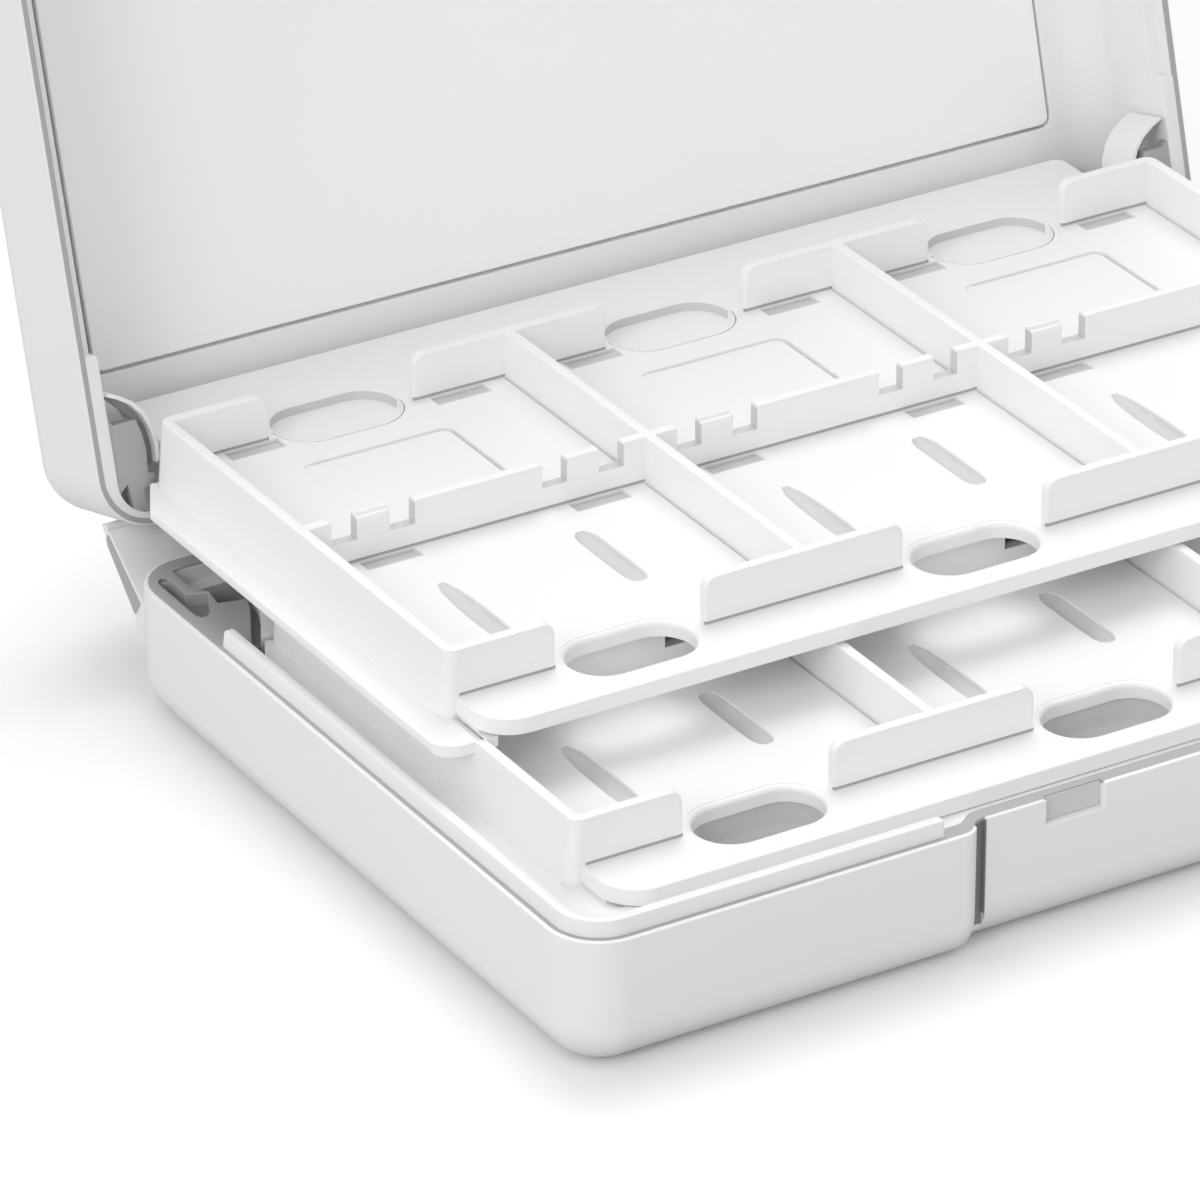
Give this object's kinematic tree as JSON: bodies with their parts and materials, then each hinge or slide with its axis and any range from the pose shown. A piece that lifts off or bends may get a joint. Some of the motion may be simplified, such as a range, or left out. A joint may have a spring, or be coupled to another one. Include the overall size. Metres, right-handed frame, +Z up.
{
  "type": "game card case",
  "caption": "Shallow white plastic case for small game cards, with a hinged lid and two stepped trays of square pockets; the upper tray slides back as the lid opens.",
  "frame": {"origin": "middle of the base's flat underside", "axes": "+X along the hinge lines to the right, +Y to the rear where the hinge is, +Z up"},
  "size_m": [0.1154, 0.1129, 0.0885],
  "materials": {
    "shell": "white moulded, satin",
    "tray": "white moulded, satin",
    "panel": "blank white panel",
    "corner_grey": "white moulded, satin"
  },
  "bodies": {
    "base": {"base_shell": "shell", "base_corner_block_left": "corner_grey", "base_corner_block_right": "corner_grey", "lower_tray": "tray"},
    "strap": {"spine_strap": "shell"},
    "lid": {"lid_shell": "shell", "lid_window": "panel", "lid_corner_plate_left": "corner_grey", "lid_corner_plate_right": "corner_grey", "latch_tongue_left": "shell", "latch_tongue_right": "shell"},
    "tray": {"upper_tray": "tray"}
  },
  "joints": [
    {"name": "strap_hinge", "type": "hinge", "parent": "base", "child": "strap", "pos_m": [0, 0.0385, 0.0085], "axis": [1, 0, 0], "range_deg": [0, 53]},
    {"name": "lid_hinge", "type": "hinge", "parent": "strap", "child": "lid", "pos_m": [0, 0.04473, 0.01319], "axis": [1, 0, 0], "range_deg": [0, 53]},
    {"name": "tray_slide", "type": "slide", "parent": "base", "child": "tray", "axis": [0, -1, 0], "range_m": [0, 0.0202]}
  ],
  "couplings": [
    {"joint": "lid_hinge", "follows": "strap_hinge", "ratio": 1},
    {"joint": "tray_slide", "follows": "strap_hinge", "m_per_rad": 0.021837}
  ]
}
